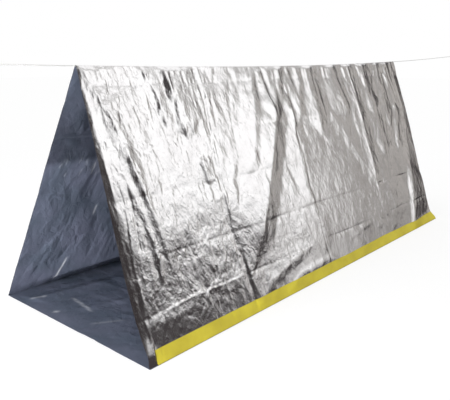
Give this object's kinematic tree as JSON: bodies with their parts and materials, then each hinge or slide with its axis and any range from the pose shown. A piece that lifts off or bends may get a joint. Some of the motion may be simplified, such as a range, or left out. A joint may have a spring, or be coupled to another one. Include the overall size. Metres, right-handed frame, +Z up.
{
  "type": "emergency tube tent",
  "caption": "Open-ended triangular tube tent of crinkled metallised film, hung on a taut cord, with a taped bottom seam.",
  "frame": {"origin": "centre of the floor's underside, where it lies on the ground", "axes": "+Z up, +Y along the tube from its front end to its rear end, +X towards the taped seam"},
  "size_m": [0.8996, 3.8625, 1.0188],
  "materials": {
    "film_outer": "metallised polyester film, mirror-like and crinkled",
    "film_inner": "slate blue-grey inner face of the film, satin, lightly wrinkled",
    "tape": "yellow adhesive seam tape, satin",
    "line": "white braided cord"
  },
  "bodies": {
    "film_tube": {"floor_sheet": "film_inner", "left_wall": "film_outer", "right_wall": "film_outer", "seam_tape": "tape"},
    "ridge": {"ridge_fold": "film_outer"},
    "line": {"ridge_line": "line", "front_line": "line", "rear_line": "line", "front_loop": "line", "rear_loop": "line"}
  },
  "joints": [
    {"name": "ridge_drop", "type": "slide", "parent": "film_tube", "child": "ridge", "axis": [0, 0, -1], "range_m": [0, 0.86], "deforming": ["left_wall", "right_wall"]},
    {"name": "line_slide", "type": "hinge", "parent": "ridge", "child": "line", "pos_m": [0.075, -0.45, 48.94], "axis": [1, 0, 0], "range_deg": [-1.18, 0.33]}
  ]
}
